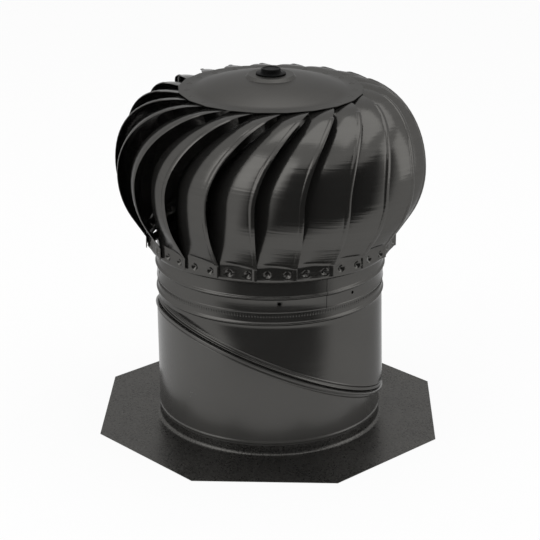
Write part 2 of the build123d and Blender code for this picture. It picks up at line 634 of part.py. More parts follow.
def build_nodes():
    """Every piece of the vent under its name."""
    leg_rivets = end_rivets(LEG_END_Z, LEG_AZIMUTH)
    leg_rivets += foot_rivets(THROAT_R, LEG_FOOT_R, LEG_RIVET_Z, LEG_AZIMUTH)
    nodes = {
        "flashing_plate": flashing_plate(),
        "lower_tube": lower_tube(),
        "upper_tube": upper_tube(),
        "throat_ring": throat_ring(),
        "brace_hub": hub(HUB_Z, JOURNAL_R + RUNNING_GAP, LEG_AZIMUTH),
        "brace_rivets": Compound(leg_rivets),
        "shaft": shaft(),
        "shaft_washer": washer(HUB_Z - WASHER_THICKNESS),
        "shaft_nut": nut(HUB_Z - WASHER_THICKNESS - NUT_HEIGHT),
        "bearing_inner_race": inner_race(),
        "bearing_nut": nut(BEARING_TOP_Z),
        "rotor_ring": rotor_ring(),
        "top_cap": top_cap(),
        "bearing_housing": bearing_housing(),
        "bearing_outer_race": outer_race(),
        "bearing_balls": bearing_balls(),
        "housing_clip": housing_clip(),
        "bearing_cap": bearing_cap(),
        "spoke_hub": hub(SPOKE_HUB_Z, SHAFT_R + RUNNING_GAP + BUSH_WALL, SPOKE_AZIMUTH),
        "spoke_rivets": Compound(end_rivets(SPOKE_END_Z, SPOKE_AZIMUTH)),
        "lower_bush": lower_bush(),
    }
    repeated = (
        ("brace_leg_{}", strip_arm(*LEG), LEG_COUNT, LEG_AZIMUTH),
        ("spoke_{}", strip_arm(*SPOKE), LEG_COUNT, SPOKE_AZIMUTH),
        ("blade_{:02d}", blade(), BLADE_COUNT, 0.0),
    )
    for name, piece, count, first in repeated:
        for i, azimuth in enumerate(spaced(count, first), start=1):
            nodes[name.format(i)] = Rot(0, 0, azimuth) * piece
    return nodes


def main():
    os.makedirs("parts", exist_ok=True)
    for name, shape in build_nodes().items():
        export_step(shape, f"parts/{name}.step")


main()
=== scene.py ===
"""Turbine roof vent in gloss black enamel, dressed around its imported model.

Laid out as an add-on and run as a script. Lengths are metres in the model's own frame, +Z up.
"""

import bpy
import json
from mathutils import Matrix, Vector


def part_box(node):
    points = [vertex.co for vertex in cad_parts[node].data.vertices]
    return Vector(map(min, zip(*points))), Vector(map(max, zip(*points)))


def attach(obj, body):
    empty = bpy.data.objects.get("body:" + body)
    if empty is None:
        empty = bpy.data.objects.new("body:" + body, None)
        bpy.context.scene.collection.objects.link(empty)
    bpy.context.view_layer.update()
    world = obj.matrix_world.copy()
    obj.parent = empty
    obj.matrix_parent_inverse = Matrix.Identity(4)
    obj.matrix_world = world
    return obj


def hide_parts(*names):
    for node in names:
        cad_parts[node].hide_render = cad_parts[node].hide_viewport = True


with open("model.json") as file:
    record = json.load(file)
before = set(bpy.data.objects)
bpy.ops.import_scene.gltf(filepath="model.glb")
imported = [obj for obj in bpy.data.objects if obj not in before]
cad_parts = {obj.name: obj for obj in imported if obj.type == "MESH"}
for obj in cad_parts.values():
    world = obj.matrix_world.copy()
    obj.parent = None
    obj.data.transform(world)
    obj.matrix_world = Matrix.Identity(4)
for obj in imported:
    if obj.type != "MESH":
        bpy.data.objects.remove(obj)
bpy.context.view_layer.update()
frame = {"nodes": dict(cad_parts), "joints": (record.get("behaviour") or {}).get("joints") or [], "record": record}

import json
from math import atan2, cos, exp, hypot, pi, radians, sin

import bpy
from mathutils import Quaternion, Vector

bl_info = {
    "name": "Turbine Roof Vent",
    "version": (1, 0, 0),
    "blender": (4, 5, 0),
    "location": "View3D > Sidebar > Roof Vent",
    "description": "Builds the sheet metal, the finishes and the stage of a turbine roof vent",
    "category": "Add Mesh",
}

MM = 0.001
ROUND_STEPS = 192
WALL_STEPS, DOME_STEPS, CLINCH_STEPS, BUTTON_STEPS = 24, 16, 16, 72
RING_WALL_STEPS, RING_STEPS_PER_BLADE, CAP_STEPS_PER_SIDE = 14, 40, 10
SMOOTH_LIMIT = radians(38.0)
HOLE_STEPS = 20
HOLE_REACH = 6 * MM
PLATE_EDGE, COLLAR_MARGIN, CAP_BRIM = 2 * MM, 4 * MM, 8 * MM
FLOOR_DROP, OPENING_DROP, FLOOR_GLOW = 0.2 * MM, 0.1 * MM, 0.9
WHITE = (1.0, 1.0, 1.0, 1.0)
BLADES = sorted(name for name in frame["nodes"] if name.startswith("blade_"))
JOINTS = {joint["name"]: joint for joint in frame["joints"]}
SEAM_AXIS = Vector(JOINTS["pitch_swivel"]["axis"]).normalized()
SEAM_POINT = Vector(JOINTS["pitch_swivel"]["pos_m"])
PLATE_LOW, PLATE_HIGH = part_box("flashing_plate")
LOWER_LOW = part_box("lower_tube")[0]
UPPER_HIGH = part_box("upper_tube")[1]
THROAT_LOW, THROAT_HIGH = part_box("throat_ring")
RING_LOW, RING_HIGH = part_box("rotor_ring")
CAP_LOW, CAP_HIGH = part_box("top_cap")
BUTTON_LOW, BUTTON_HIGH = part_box("bearing_cap")

# Rolled sections, in millimetres. At the slanted seam: (out from the wall or rim, along the seam's axis)
CHANNEL_FOOT = ((0.0, -8.0), (0.15, -7.4), (0.5, -6.8), (1.0, -6.0), (1.1, -5.4), (0.8, -4.6), (0.2, -3.9),
                (0.0, -3.2), (0.0, -2.5), (0.3, -2.0))
CHANNEL_RIM = ((-1.4, -1.75), (-0.5, -1.45), (0.0, -0.5), (0.0, 0.5), (-0.5, 1.45), (-1.4, 1.75))
CHANNEL_LIP = ((0.9, 1.75), (0.5, 1.6))
TONGUE = ((3.6, -0.5), (3.8, 0.0), (3.6, 0.5), (0.2, 0.6), (0.0, 1.0), (0.0, 2.2))
# Beads above the seam: (middle along the axis, rise, width)
SEAM_BEADS = ((4.7, 2.2, 5.0), (9.8, 0.9, 3.4))
# Foot of the rotor ring: (outwards from its wall, up from its edge)
RING_FOOT = ((-2.9, 0.0), (-2.5, 0.3), (-1.2, 3.0), (-0.3, 5.0))
RING_WALL_START = 6.5
# A clinch mark: (share of its radius, millimetres above the cap)
CLINCH = ((1.2, -0.3), (1.25, 0.0), (1.1, 0.28), (0.95, 0.34), (0.8, 0.22), (0.5, 0.06), (0.2, 0.02))
# The bearing cap: (radius, above the boss) of its flange and (radius, below its top) of its crown
BUTTON_FLANGE = ((19.8, 0.0), (20.0, 0.4), (20.0, 1.6), (19.6, 2.1), (18.8, 2.3), (14.8, 2.4), (13.9, 2.9),
                 (13.5, 3.8))
BUTTON_CROWN = ((13.3, 1.6), (12.9, 0.7), (12.1, 0.2), (11.2, 0.0), (10.4, 0.3), (9.8, 0.8), (4.0, 0.9))

# Shares of the rolled hem along a blade's lip: how full it is, and the groove beside it
HEM_FULLNESS = 0.6
GROOVE_DEPTH, GROOVE_PLACE, GROOVE_WIDTH = 0.35, 1.08, 0.09
# Where the two clinch pits lie across a blade's bare foot, and the raised rim round each
PIT_SHARES = (0.25, 0.75)
PIT_RIM_RISE, PIT_RIM_PLACE, PIT_RIM_WIDTH = 0.3 * MM, 1.15, 0.2
# The fold above the pits: its height above the skirt's end, its width, and where the close sampling and the
# pressed foot start
FOLD_PLACE, FOLD_WIDTH, FOLD_REACH, MARKS_START = 3.5 * MM, 3.2 * MM, 10 * MM, 20 * MM
# Stretches of a blade from lip to inner edge, with the number of steps in each
PLACE_STOPS = ((0.0, 0.1, 7), (0.1, 0.14, 2), (0.14, 0.31, 9), (0.31, 0.58, 4), (0.58, 0.76, 9),
               (0.76, 1.0, 4))

# Noise: scale, detail and stretch
ROLLING, MOTTLING, SPECKS = (1.0, 3.0, (9.0, 9.0, 260.0)), (16.0, 3.0), (420.0, 2.0)
CLOUDS, LINES = (60.0, 4.0), (1.0, 2.0, (300.0, 300.0, 1500.0))
SPARKS = (1400.0, 2.0)
# How far rolling, mottling and specks sway the enamel's tone, roughness and height
TONE_SWAY, GLOSS_SWAY, BUMP_SWAY = (0.7, 0.6, 6.0), (0.06, 0.12, 1.0), (7.0, 2.0, 8.0)
LEAST_GRAIN = 0.0125
# How far the enamel's colour spreads, without grain and with it
SPREAD, GRAIN_SPREAD = 0.14, 0.5
ENAMEL_BUMP = {"Strength": 0.12, "Distance": 0.4 * MM}
SPARK_BUMP = {"Strength": 0.15, "Distance": 0.3 * MM}
PLATED_SHADES, PLATED_SWAY = (0.75, 1.2), (0.2, 0.1)
PLASTIC_SHADES, PLASTIC_SWAY = (0.8, 1.3), (0.12,)
# Slopes between which a wall counts as upright, and the soft edges of the dark ground
UPRIGHT_LIMITS = (0.2, 0.35)
DARK_SIDES, DARK_NEAR, DARK_TOP = (0.0, 0.17), (0.0, 0.04), (1.0, 0.9)

# Lamps: place, point that they look at, size and power
LAMPS = {
    "key_lamp": ((-1.7, -1.3, 1.7), (0.0, 0.0, 0.25), (1.9, 2.1), 16.5),
    "top_lamp": ((0.2, 0.3, 2.2), (0.0, 0.0, 0.3), (1.8, 1.5), 10.0),
    "side_lamp": ((2.0, -0.2, 1.1), (0.0, 0.0, 0.3), (1.1, 1.9), 7.4),
}


def length(name, description, millimetres):
    """A length property with its default in millimetres."""
    return bpy.props.FloatProperty(name=name, description=description, default=millimetres * MM,
                                   precision=5, unit="LENGTH")


def angle(name, description, degrees):
    """An angle property with its default in degrees."""
    return bpy.props.FloatProperty(name=name, description=description, default=radians(degrees),
                                   unit="ROTATION")


def share(name, description, value):
    """A plain number property."""
    return bpy.props.FloatProperty(name=name, description=description, default=value, precision=4)


def tint(name, description, value):
    """A colour property."""
    return bpy.props.FloatVectorProperty(name=name, description=description, default=value,
                                         subtype="COLOR", size=3, min=0.0, max=1.0)


class VentBase(bpy.types.PropertyGroup):
    """Sizes of the flashing, the two tubes and the throat."""
    sheet: length("Sheet", "Thickness of the tubes' sheet metal", 0.6)
    plate: length("Plate", "Thickness of the plate, throat, ring and cap", 0.7)
    tube_radius: length("Tube radius", "Outside radius of both tubes", 153.5)
    collar_bend: length("Collar bend", "Radius of the bend between the plate and its collar", 5.0)
    collar_radius: length("Collar radius", "Outside radius of the plate's collar", 152.7)
    seam_radius: length("Seam radius", "Radius of the tubes' walls at the slanted seam", 163.5)
    seam_rim: length("Seam rim", "Radius of the rolled rim at the slanted seam", 168.5)
    seam_reach: length("Seam reach", "How far each tube's seam wall stands from the seam", 8.0)
    foot_bead: length("Foot bead", "How far the lower tube's bead stands out", 1.2)
    foot_bead_height: length("Foot bead height", "Height of that bead's middle above the tube's foot", 4.2)
    foot_bead_width: length("Foot bead width", "Width of that bead", 6.0)
    wall_start: length("Wall start", "Height above the tube's foot at which its slanted wall starts", 8.5)
    stop_bead: length("Stop bead", "How far the neck's bead stands out", 2.2)
    throat_bead: length("Throat bead", "How far the throat's bead stands out", 2.5)
    bead_width: length("Bead width", "Width of a rolled bead", 7.0)
    throat_radius: length("Throat radius", "Outside radius of the throat ring", 154.4)
    neck_height: length("Neck height", "Height at which the upper tube is round and level again", 182.0)
    stop_height: length("Stop bead height", "Height of the neck's bead", 190.0)
    throat_bead_height: length("Throat bead height", "Height of the throat's bead", 226.0)
    foot_roll: length("Foot roll", "How far the throat's rolled lower edge stands out", 0.5)
    foot_roll_width: length("Foot roll width", "Width of the throat's rolled lower edge", 3.2)
    lap_azimuth: angle("Lap azimuth", "Where the throat's lap seam starts", -60.0)
    lap_angle: angle("Lap angle", "Width of the throat's lap seam", 8.0)
    screw_hole: length("Screw hole", "Radius of the throat's screw holes", 2.2)
    screw_drop: length("Screw drop", "How far the screw holes lie below the throat's bead", 8.0)
    screw_azimuth: angle("Screw azimuth", "Azimuth of the first screw hole", -84.0)
    screw_step: angle("Screw step", "Turn from the first to the second screw hole", 40.0)
    crimp_count: bpy.props.IntProperty(name="Crimps", description="Number of crimps round the neck",
                                       default=252)
    crimp_height: length("Crimp height", "Height of the row of crimps", 201.2)
    crimp_length: length("Crimp length", "Length of a crimp", 5.6)
    crimp_width: length("Crimp width", "Width of a crimp", 2.2)
    crimp_rise: length("Crimp rise", "How far a crimp stands out", 0.8)


class VentHead(bpy.types.PropertyGroup):
    """Sizes of the spinning head."""
    sheet: length("Sheet", "Thickness of the blades' sheet", 0.5)
    rim_radius: length("Rim radius", "Radius at which the blades leave the cap", 118.2)
    crown_flat: length("Crown flat", "Level stretch of a blade outside the cap", 11.8)
    crown_rise: length("Crown rise", "Height of the crown above the widest line", 101.0)
    equator_radius: length("Equator radius", "Largest radius of the head", 208.7)
    belly_radius: length("Belly radius", "Radius of the bend under the widest line", 116.0)
    skirt_slope: angle("Skirt slope", "Slope of the skirt from the upright", 33.3)
    foot_gap: length("Foot gap", "Gap between a blade's foot and the ring", 0.2)
    foot_turn: angle("Foot turn", "Turn of a blade's flat foot against the ring", 12.35)
    foot_height: length("Foot height", "Height of the blades' lower edges", 256.0)
    foot_bend: length("Foot bend", "Height of the bend above a blade's lower edge", 15.4)
    head_radius: length("Head radius", "Radius of the blades' upper ends under the cap", 102.0)
    first_azimuth: angle("First azimuth", "Azimuth of the first blade's lip at the widest line", -94.0)
    swirl: angle("Swirl", "Turn of each lip between the cap and the widest line", 32.0)
    swirl_power: share("Swirl power", "How early the lip turns", 1.7)
    belly_depth: length("Belly depth", "How deep a blade's inner edge lies at the belly", 40.0)
    lap: angle("Lap", "Overlap of two blades at head and foot", 2.0)
    belly_lap: angle("Belly lap", "Overlap of two blades at the belly", 5.0)
    bow: length("Bow", "How far a blade's section bows out of its chord at the belly", 11.0)
    hem_width: length("Hem width", "Width of the rolled hem along the lip", 6.0)
    hem_rise: length("Hem rise", "Height of the rolled hem", 0.9)
    hem_start: length("Hem start", "Length below the cap at which the hem starts", 30.0)
    hem_step: length("Hem step", "Length over which the hem steps out", 8.0)
    hem_setback: length("Hem setback", "How far the lip is cut back above the hem", 3.0)
    pit_radius: length("Pit radius", "Radius of the clinch pits at the blades' feet", 5.0)
    pit_depth: length("Pit depth", "Depth of the clinch pits", 4.2)
    pit_room: length("Pit room", "How much wider and deeper the ring is pressed under a pit", 1.6)
    pit_height: length("Pit height", "Height of the row of clinch pits", 263.0)
    fold_depth: length("Fold depth", "Depth of the pressed fold above the pits", 1.6)
    cap_corner: length("Cap corner", "Radius of the cap's corners", 123.0)
    cap_flat: length("Cap flat", "Radius at which the cap's dome starts", 103.0)
    boss_foot: length("Boss foot", "Radius of the boss at its foot", 34.0)
    boss_radius: length("Boss radius", "Radius of the boss at its top", 30.0)
    boss_hole: length("Boss hole", "Radius of the hole under the bearing cap", 15.0)
    boss_rise: length("Boss rise", "Height of the boss", 4.0)
    dome_rise: length("Dome rise", "Height of the cap's dome", 15.0)
    dome_bow: length("Dome bow", "Height of the cap's dome half way", 10.0)
    clinch_radius: length("Clinch radius", "Radius of the clinch marks round the cap", 3.2)
    clinch_circle: length("Clinch circle", "Radius of the circle of clinch marks", 111.0)
    button_plug: length("Button plug", "Radius of the bearing cap's plug in the boss", 14.9)
    button_bore: length("Button bore", "Radius of the hollow inside the bearing cap", 12.0)
    button_wall: length("Button wall", "Thickness of the bearing cap's top", 1.5)


class VentFinish(bpy.types.PropertyGroup):
    """Colours and gloss."""
    enamel: tint("Enamel", "Colour of the dark enamel", (0.076, 0.074, 0.070))
    enamel_edge: tint("Enamel at grazing view", "Tint of the gloss at a grazing view", (0.5, 0.5, 0.5))
    enamel_gloss: share("Enamel roughness", "Roughness of the enamel", 0.19)
    zinc: tint("Zinc", "Colour of the plated hardware", (0.16, 0.16, 0.155))
    bronze: tint("Bronze", "Colour of the bush", (0.36, 0.24, 0.11))
    plastic: tint("Plastic", "Colour of the bearing cap", (0.004, 0.004, 0.004))


class VentStage(bpy.types.PropertyGroup):
    """Camera, surroundings and floor."""
    lens: share("Lens", "Focal length in millimetres on a 36 mm sensor", 118.6)
    camera_distance: length("Camera distance", "Level distance of the camera from the duct's axis", 2283.0)
    camera_height: length("Camera height", "Height of the camera above the roof line", 1072.0)
    camera_azimuth: angle("Camera azimuth", "Turn of the camera about the duct's axis", 1.44)
    camera_roll: angle("Camera roll", "Roll of the camera about its view", 0.26)
    aim_height: length("Aim height", "Height on the duct's axis at which the camera looks", 207.0)
    floor_tone: tint("Floor", "Colour of the pale floor", (0.92, 0.92, 0.92))
    ambient: share("Ambient", "Strength of the white surroundings as light", 0.7)
    dark_start: length("Dark start", "Distance from the axis at which the ground in front turns dark", 440.0)
    dark_skew: length("Dark skew", "How much farther out the dark ground starts at its right side", 500.0)
    dark_reach: length("Dark reach", "Distance from the axis at which the ground meets the dark wall", 1500.0)
    dark_height: length("Dark height", "Height of the dark wall", 1750.0)
    dark_left: angle("Dark left", "Azimuth of the dark ground's left side from the front", -54.0)
    dark_right: angle("Dark right", "Azimuth of the dark ground's right side from the front", 66.0)
    dark_turn: angle("Dark turn", "How far to the right the dark wall leans at its top", 14.0)
    dark_tone: share("Dark tone", "Brightness of the dark ground", 0.02)


class Wire:
    """A node's output that does arithmetic by adding Math nodes to its tree."""

    def __init__(self, tree, socket):
        self.tree = tree
        self.socket = socket

    def math(self, operation, first, second):
        node = self.tree.nodes.new("ShaderNodeMath")
        node.operation = operation
        plug(self.tree, node.inputs[0], first)
        plug(self.tree, node.inputs[1], second)
        return Wire(self.tree, node.outputs[0])

    def __add__(self, other):
        return self.math("ADD", self, other)

    def __mul__(self, other):
        return self.math("MULTIPLY", self, other)

    def __sub__(self, other):
        return self.math("SUBTRACT", self, other)

    def __rsub__(self, other):
        return self.math("SUBTRACT", other, self)

    __radd__ = __add__
    __rmul__ = __mul__


def plug(tree, socket, value):
    """Link a wire into a socket, or set a plain value on it."""
    if isinstance(value, Wire):
        tree.links.new(value.socket, socket)
    else:
        socket.default_value = value


class Nodes:
    """One way to add any node to a tree: its type, the values or wires of its sockets and its settings."""

    def __init__(self, tree):
        self.tree = tree

    def add(self, kind, sockets=(), settings=(), output=0):
        node = self.tree.nodes.new(kind)
        for name, value in dict(settings).items():
            setattr(node, name, value)
        self.feed(node, sockets)
        return Wire(self.tree, node.outputs[output]) if node.outputs else None

    def feed(self, node, sockets):
        """Set or link a node's sockets, given by name or number."""
        for name, value in dict(sockets).items():
            plug(self.tree, node.inputs[name], value)


def new_material(name):
    """A material with its node adder and its surface shader."""
    material = bpy.data.materials.new(name)
    material.use_nodes = True
    return material, Nodes(material.node_tree), material.node_tree.nodes["Principled BSDF"]


def shades(nodes, factor, colour, dark, bright):
    """A colour that a factor takes from a darker to a brighter version of itself."""
    first, second, result = 6, 7, 2
    dark, bright = ((*(min(1.0, channel * level) for channel in colour), 1.0) for level in (dark, bright))
    sockets = {"Factor": factor, first: dark, second: bright}
    return nodes.add("ShaderNodeMix", sockets, {"data_type": "RGBA"}, result)


def mix_surfaces(nodes, factor, first, second):
    """Show two shaders mixed by a factor as the material's surface."""
    mixed = nodes.add("ShaderNodeMixShader", {0: factor, 1: first, 2: second})
    nodes.feed(nodes.tree.nodes["Material Output"], {"Surface": mixed})


def smooth_step(nodes, value, low, high):
    """Zero at the low value and one at the high one, with a soft change between them."""
    return nodes.add("ShaderNodeMapRange", {"Value": value, "From Min": low, "From Max": high},
                     {"interpolation_type": "SMOOTHSTEP"})


def noise(nodes, place, scale, detail=2.0, stretch=(1.0, 1.0, 1.0)):
    """Noise on a place, stretched along the axes."""
    mapped = nodes.add("ShaderNodeMapping", {"Vector": place, "Scale": stretch})
    return nodes.add("ShaderNodeTexNoise", {"Vector": mapped, "Scale": scale, "Detail": detail})


def sway(start, weights, *parts):
    """A start value swayed by weighted parts."""
    return sum((weight * part for weight, part in zip(weights, parts)), start)


def split(nodes, vector):
    """The three parts of a vector."""
    first = nodes.add("ShaderNodeSeparateXYZ", {"Vector": vector})
    return [Wire(nodes.tree, socket) for socket in first.socket.node.outputs]


def upright(nodes):
    """The surface's direction without the slight slope of an upright wall, so that its gloss lies level."""
    x, y, z = split(nodes, nodes.add("ShaderNodeTexCoord", output="Normal"))
    steep = smooth_step(nodes, z.math("ABSOLUTE", z, 0.0), *UPRIGHT_LIMITS)
    level = nodes.add("ShaderNodeCombineXYZ", {"X": x, "Y": y, "Z": z * steep})
    spaces = {"vector_type": "NORMAL", "convert_from": "OBJECT", "convert_to": "WORLD"}
    return nodes.add("ShaderNodeVectorTransform", {"Vector": level}, spaces)


def enamel(name, finish, grain, streak, blur, sheen, level=False):
    """Dark gloss enamel on rolled sheet: streaks of the rolling, soft mottling and a fine grain.

    grain and streak are the strengths of the specks and of the streaks, blur is added roughness, sheen is the
    metallic share of the gloss, and level makes the gloss of a leaning wall lie level.
    """
    material, nodes, surface = new_material(name)
    place = nodes.add("ShaderNodeTexCoord", output="Object")
    streaks, mottling, specks = (noise(nodes, place, *kind) - 0.5 for kind in (ROLLING, MOTTLING, SPECKS))
    tone = sway(0.5, TONE_SWAY, streak * streaks, mottling, grain * specks)
    gloss = sway(finish.enamel_gloss + blur, GLOSS_SWAY, streaks, mottling, grain * specks)
    height = sway(0.0, BUMP_SWAY, streak * streaks, mottling, (LEAST_GRAIN + grain) * specks)
    spread = SPREAD + GRAIN_SPREAD * grain
    colour = shades(nodes, tone, finish.enamel, 1 - spread, 1 + spread)
    bump = nodes.add("ShaderNodeBump", {**ENAMEL_BUMP, "Height": height})
    if level:
        nodes.feed(bump.socket.node, {"Normal": upright(nodes)})
    nodes.feed(surface, {"Base Color": colour, "Roughness": gloss, "Normal": bump, "Metallic": sheen,
                         "Specular Tint": (*finish.enamel_edge, 1.0)})
    return material


def plated(name, colour, roughness):
    """Plated or turned metal with a cloudy sheen."""
    material, nodes, surface = new_material(name)
    place = nodes.add("ShaderNodeTexCoord", output="Object")
    clouds, lines = noise(nodes, place, *CLOUDS), noise(nodes, place, *LINES)
    nodes.feed(surface, {"Base Color": shades(nodes, clouds, colour, *PLATED_SHADES), "Metallic": 1.0,
                         "Roughness": sway(roughness, PLATED_SWAY, clouds - 0.5, lines - 0.5)})
    return material


def moulded(name, colour, roughness, shine):
    """Moulded plastic with a fine spark texture."""
    material, nodes, surface = new_material(name)
    sparks = noise(nodes, nodes.add("ShaderNodeTexCoord", output="Object"), *SPARKS)
    bump = nodes.add("ShaderNodeBump", {**SPARK_BUMP, "Height": sparks})
    nodes.feed(surface, {"Base Color": shades(nodes, sparks, colour, *PLASTIC_SHADES), "Normal": bump,
                         "Roughness": sway(roughness, PLASTIC_SWAY, sparks - 0.5),
                         "Specular IOR Level": shine})
    return material


def matt(name, colour, roughness, shine):
    """A plain matt material, with its node adder and its surface shader."""
    material, nodes, surface = new_material(name)
    nodes.feed(surface, {"Base Color": (*colour, 1.0), "Roughness": roughness, "Specular IOR Level": shine})
    return material, nodes, surface


def finishes(context):
    """The vent's materials, made once."""
    finish = context.scene.vent_finish
    enamels = {
        "sheet_enamel": {"grain": 0.02, "streak": 1.0, "blur": 0.0, "sheen": 0.84},
        "cap_enamel": {"grain": 0.05, "streak": 0.2, "blur": 0.2, "sheen": 0.9},
        "neck_enamel": {"grain": 0.02, "streak": 0.3, "blur": 0.02, "sheen": 0.78},
        "tube_enamel": {"grain": 0.03, "streak": 0.15, "blur": 0.05, "sheen": 0.38, "level": True},
        "plate_enamel": {"grain": 0.45, "streak": 0.0, "blur": 0.14, "sheen": 0.8},
    }
    found = bpy.data.materials.get
    looks = {name: found(name) or enamel(name, finish, **values) for name, values in enamels.items()}
    looks["zinc_plate"] = found("zinc_plate") or plated("zinc_plate", finish.zinc, roughness=0.42)
    looks["bush_bronze"] = found("bush_bronze") or plated("bush_bronze", finish.bronze, roughness=0.3)
    looks["cap_plastic"] = found("cap_plastic") or moulded("cap_plastic", finish.plastic, 0.42, shine=0.02)
    return looks


def polar(radius, azimuth, height):
    """A point at a radius and azimuth about the Z axis."""
    return Vector((radius * cos(azimuth), radius * sin(azimuth), height))


def round_azimuths(steps=ROUND_STEPS):
    """Evenly spaced azimuths of one full turn."""
    return [2 * pi * i / steps for i in range(steps)]


HIGH = Vector((-SEAM_AXIS.x, -SEAM_AXIS.y, 0.0)).normalized()
ACROSS_HIGH = Vector((0.0, 0.0, 1.0)).cross(HIGH)
SEAM_UPHILL = ACROSS_HIGH.cross(SEAM_AXIS)


def level_ring(radius, height):
    """A level circle that starts at the seam's high side."""
    return [HIGH * radius * cos(a) + ACROSS_HIGH * radius * sin(a) + Vector((0.0, 0.0, height))
            for a in round_azimuths()]


def seam_ring(radius, offset):
    """A circle in the slanted plane of the seam, moved along its normal."""
    centre = SEAM_POINT + SEAM_AXIS * offset
    return [centre + SEAM_UPHILL * radius * cos(a) + ACROSS_HIGH * radius * sin(a)
            for a in round_azimuths()]


def circle(radius, height, azimuths):
    """A level circle at the given azimuths."""
    return [polar(radius, a, height) for a in azimuths]


def wall_rings(first, last, steps):
    """Rings between two rings, point to point, without the ends."""
    return [[a.lerp(b, i / steps) for a, b in zip(first, last)] for i in range(1, steps)]


def sampled(stops):
    """Values along stretches given as (low, high, steps), with the last stretch's end."""
    values = [low + (high - low) * i / steps for low, high, steps in stops for i in range(steps)]
    return values + [stops[-1][1]]


def bead_path(height, rise, width, steps=10):
    """(outward, height) points over a rolled bead with soft feet."""
    return [(rise * sin(pi * i / steps) ** 2, height + width * (i / steps - 0.5)) for i in range(steps + 1)]


def skin(rings, joined=True):
    """Vertices and faces of a surface over rings of equal length; joined closes each ring on itself."""
    count = len(rings[0])
    points = [tuple(point) for ring in rings for point in ring]
    spans = count if joined else count - 1
    faces = []
    for low in range(0, (len(rings) - 1) * count, count):
        high = low + count
        for i in range(spans):
            after = (i + 1) % count
            faces.append((low + i, low + after, high + after, high + i))
    return points, faces


def closed_skin(rings):
    """A skin whose first and last rings are closed off."""
    points, faces = skin(rings)
    count = len(rings[0])
    faces.append(tuple(range(len(points) - count, len(points))))
    faces.append(tuple(reversed(range(count))))
    return points, faces


def new_piece(name, points, faces):
    """A mesh object in the scene."""
    mesh = bpy.data.meshes.new(name)
    mesh.from_pydata(points, [], faces)
    piece = bpy.data.objects.new(name, mesh)
    bpy.context.scene.collection.objects.link(piece)
    return piece


def thicken(piece, sheet):
    """Give an outer skin its sheet thickness, inwards."""
    solid = piece.modifiers.new("Sheet", "SOLIDIFY")
    solid.thickness = sheet
    solid.offset = -1.0
    solid.use_even_offset = True


def settle(piece):
    """Turn a piece and its modifiers into a plain mesh."""
    graph = bpy.context.evaluated_depsgraph_get()
    mesh = bpy.data.meshes.new_from_object(piece.evaluated_get(graph))
    worn = piece.data
    piece.modifiers.clear()
    piece.data = mesh
    bpy.data.meshes.remove(worn)


def dress(piece, material, body, nodes=()):
    """Smooth a piece, paint it and set it on its body in place of its solids."""
    piece.data.shade_smooth()
    piece.data.set_sharp_from_angle(angle=SMOOTH_LIMIT)
    if not piece.data.materials:
        piece.data.materials.append(material)
    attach(piece, body)
    if nodes:
        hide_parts(*nodes)


def sheet_piece(name, rings, sheet, material, body, node, drilled=None):
    """A round sheet-metal piece from the rings of its outer skin, drilled where a wall radius is given."""
    piece = new_piece(name, *skin(rings))
    thicken(piece, sheet)
    if drilled is None:
        settle(piece)
    else:
        drill(piece, bpy.context.scene.vent_base, drilled)
    dress(piece, material, body, [node])


def drill(piece, base, radius):
    """Cut the screw holes through an upright round wall and settle the piece."""
    points, faces = [], []
    hole = base.screw_hole
    height = base.throat_bead_height - base.screw_drop
    firsts = (base.screw_azimuth, base.screw_azimuth + base.screw_step)
    for azimuth in [first + 2 * pi * i / 3 for first in firsts for i in range(3)]:
        side = Vector((-sin(azimuth), cos(azimuth), 0.0))
        ends = (radius - HOLE_REACH, radius + HOLE_REACH)
        rings = [[polar(reach, azimuth, height + hole * sin(a)) + side * hole * cos(a)
                  for a in round_azimuths(HOLE_STEPS)] for reach in ends]
        rod_points, rod_faces = closed_skin(rings)
        faces += [tuple(len(points) + i for i in face) for face in rod_faces]
        points += rod_points
    cutter = new_piece("hole_cutter", points, faces)
    cut = piece.modifiers.new("Holes", "BOOLEAN")
    cut.object = cutter
    cut.operation = "DIFFERENCE"
    settle(piece)
    worn = cutter.data
    bpy.data.objects.remove(cutter)
    bpy.data.meshes.remove(worn)


def array_tree():
    """Geometry nodes that repeat a shape round the Z axis, realized and painted."""
    found = bpy.data.node_groups.get("Round The Axis")
    if found:
        return found
    tree = bpy.data.node_groups.new("Round The Axis", "GeometryNodeTree")
    for name, kind in (("Geometry", "Geometry"), ("Count", "Int"), ("First Azimuth", "Float"),
                       ("Material", "Material")):
        tree.interface.new_socket(name, in_out="INPUT", socket_type="NodeSocket" + kind)
    tree.interface.new_socket("Geometry", in_out="OUTPUT", socket_type="NodeSocketGeometry")
    nodes = Nodes(tree)
    entry = nodes.add("NodeGroupInput").socket.node
    inputs = {socket.name: Wire(tree, socket) for socket in entry.outputs if socket.name}
    index = nodes.add("GeometryNodeInputIndex")
    step = inputs["Count"].math("DIVIDE", 2 * pi, inputs["Count"])
    turn = nodes.add("ShaderNodeCombineXYZ", {"Z": index * step + inputs["First Azimuth"]})
    points = nodes.add("GeometryNodePoints", {"Count": inputs["Count"]})
    placed = nodes.add("GeometryNodeInstanceOnPoints",
                       {"Points": points, "Instance": inputs["Geometry"], "Rotation": turn})
    real = nodes.add("GeometryNodeRealizeInstances", {"Geometry": placed})
    painted = nodes.add("GeometryNodeSetMaterial", {"Geometry": real, "Material": inputs["Material"]})
    nodes.add("NodeGroupOutput", {"Geometry": painted})
    return tree


